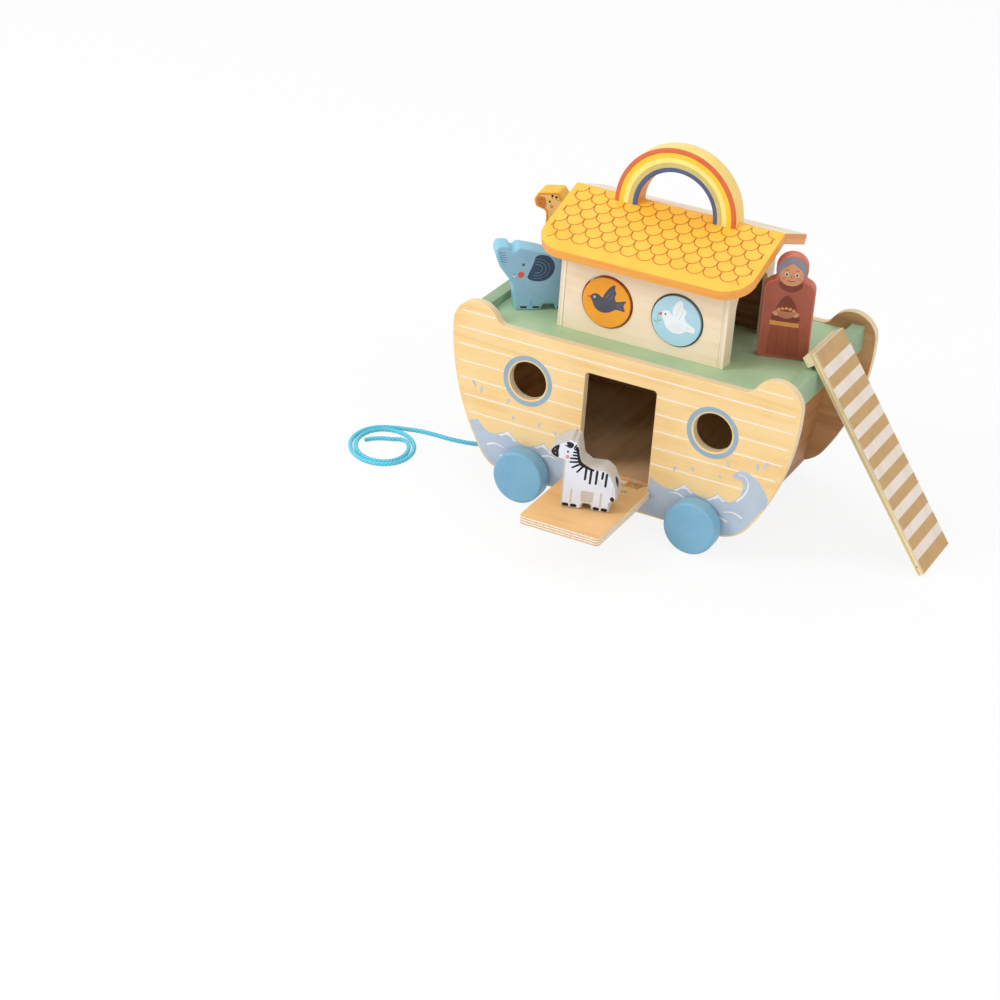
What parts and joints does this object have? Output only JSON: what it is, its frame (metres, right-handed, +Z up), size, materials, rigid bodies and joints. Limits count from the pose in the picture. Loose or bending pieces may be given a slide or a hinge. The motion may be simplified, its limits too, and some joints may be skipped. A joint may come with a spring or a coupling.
{
  "type": "wooden ark pull toy",
  "caption": "Wooden boat-shaped pull toy on wheels with a drop ramp door, cabin, lift-off roof with rainbow handle, leaning gangway, pull cord and loose animal figures.",
  "frame": {"origin": "on the floor under the middle of the hull, level with the bottoms of the wheels", "axes": "+X along the hull from bow to stern, -Y out of the ramp door, +Z up"},
  "size_m": [0.5263, 0.3003, 0.3125],
  "materials": {
    "panel_wood": "satin lacquer with printed lines, waves and porthole rings",
    "brown_wood": "satin stain",
    "green_wood": "satin paint",
    "cabin_birch": "satin lacquer",
    "plain_birch": "bare",
    "hinge_steel": "bright",
    "cord_blue": "braided",
    "wheel_blue": "satin paint",
    "ramp_ply": "satin lacquer",
    "roof_yellow": "satin paint with printed shingles",
    "roof_back_wood": "satin lacquer",
    "rainbow_paint": "satin paint with printed bands",
    "disc_orange": "satin print",
    "disc_sky": "satin print",
    "gangway_tan": "satin print of stripes",
    "zebra_paint": "satin paint with print",
    "elephant_paint": "satin paint with print",
    "giraffe_paint": "satin paint with print",
    "woman_paint": "satin paint with print"
  },
  "bodies": {
    "hull": {"front_panel": "panel_wood", "back_panel": "panel_wood", "hold_floor": "brown_wood", "bow_wall": "brown_wood", "stern_wall": "brown_wood", "deck": "green_wood", "bow_rail": "green_wood", "stern_rail": "green_wood", "cabin_front_wall": "cabin_birch", "cabin_back_wall": "cabin_birch", "cabin_bow_wall": "cabin_birch", "cabin_stern_wall": "cabin_birch", "window_bar": "plain_birch", "bow_spindle": "plain_birch", "stern_spindle": "plain_birch", "bow_sill_leaf": "hinge_steel", "stern_sill_leaf": "hinge_steel", "bow_sill_screw": "hinge_steel", "stern_sill_screw": "hinge_steel", "bow_hinge_pin": "hinge_steel", "stern_hinge_pin": "hinge_steel", "cord_knot": "cord_blue", "pull_cord": "cord_blue", "cord_coil": "cord_blue"},
    "bow_wheelset": {"bow_axle": "plain_birch", "bow_front_wheel": "wheel_blue", "bow_back_wheel": "wheel_blue"},
    "stern_wheelset": {"stern_axle": "plain_birch", "stern_front_wheel": "wheel_blue", "stern_back_wheel": "wheel_blue"},
    "ramp": {"ramp_door": "ramp_ply", "bow_ramp_leaf": "hinge_steel", "stern_ramp_leaf": "hinge_steel", "bow_ramp_screw": "hinge_steel", "stern_ramp_screw": "hinge_steel"},
    "roof": {"roof_front_slab": "roof_yellow", "roof_back_slab": "roof_back_wood", "rainbow_handle": "rainbow_paint", "bow_handle_dowel": "plain_birch", "stern_handle_dowel": "plain_birch", "bow_batten": "plain_birch", "stern_batten": "plain_birch"},
    "bow_window": {"dark_bird_disc": "disc_orange"},
    "stern_window": {"pale_bird_disc": "disc_sky"},
    "gangway": {"gangway_board": "gangway_tan", "gangway_cleat": "plain_birch"},
    "loose_zebra": {"zebra": "zebra_paint"},
    "loose_elephant": {"elephant": "elephant_paint"},
    "loose_giraffe": {"giraffe": "giraffe_paint"},
    "loose_woman": {"woman_figure": "woman_paint"}
  },
  "joints": [
    {"name": "bow_axle_turn", "type": "hinge", "parent": "hull", "child": "bow_wheelset", "pos_m": [-0.081, 0, 0.0236], "axis": [0, 1, 0], "continuous": true},
    {"name": "stern_axle_turn", "type": "hinge", "parent": "hull", "child": "stern_wheelset", "pos_m": [0.081, 0, 0.0236], "axis": [0, 1, 0], "continuous": true},
    {"name": "ramp_hinge", "type": "hinge", "parent": "hull", "child": "ramp", "pos_m": [0, -0.093, 0.0373], "axis": [-1, 0, 0], "range_deg": [0, 90]},
    {"name": "roof_lift", "type": "slide", "parent": "hull", "child": "roof", "axis": [0, 0, 1], "range_m": [0, 0.08]},
    {"name": "bow_window_turn", "type": "hinge", "parent": "hull", "child": "bow_window", "pos_m": [-0.0322, -0.0564, 0.1845], "axis": [0, 1, 0], "continuous": true},
    {"name": "stern_window_turn", "type": "hinge", "parent": "hull", "child": "stern_window", "pos_m": [0.0322, -0.0564, 0.1845], "axis": [0, 1, 0], "continuous": true},
    {"name": "gangway_lift", "type": "slide", "parent": "hull", "child": "gangway", "axis": [0, 0, 1], "range_m": [0, 0.06]},
    {"name": "zebra_lift", "type": "slide", "parent": "ramp", "child": "loose_zebra", "axis": [0, 0, 1], "range_m": [0, 0.02]},
    {"name": "elephant_lift", "type": "slide", "parent": "hull", "child": "loose_elephant", "axis": [0, 0, 1], "range_m": [0, 0.02]},
    {"name": "giraffe_lift", "type": "slide", "parent": "hull", "child": "loose_giraffe", "axis": [0, 0, 1], "range_m": [0, 0.03]},
    {"name": "woman_lift", "type": "slide", "parent": "hull", "child": "loose_woman", "axis": [0.28, 0, 0.96], "range_m": [0, 0.008]}
  ]
}
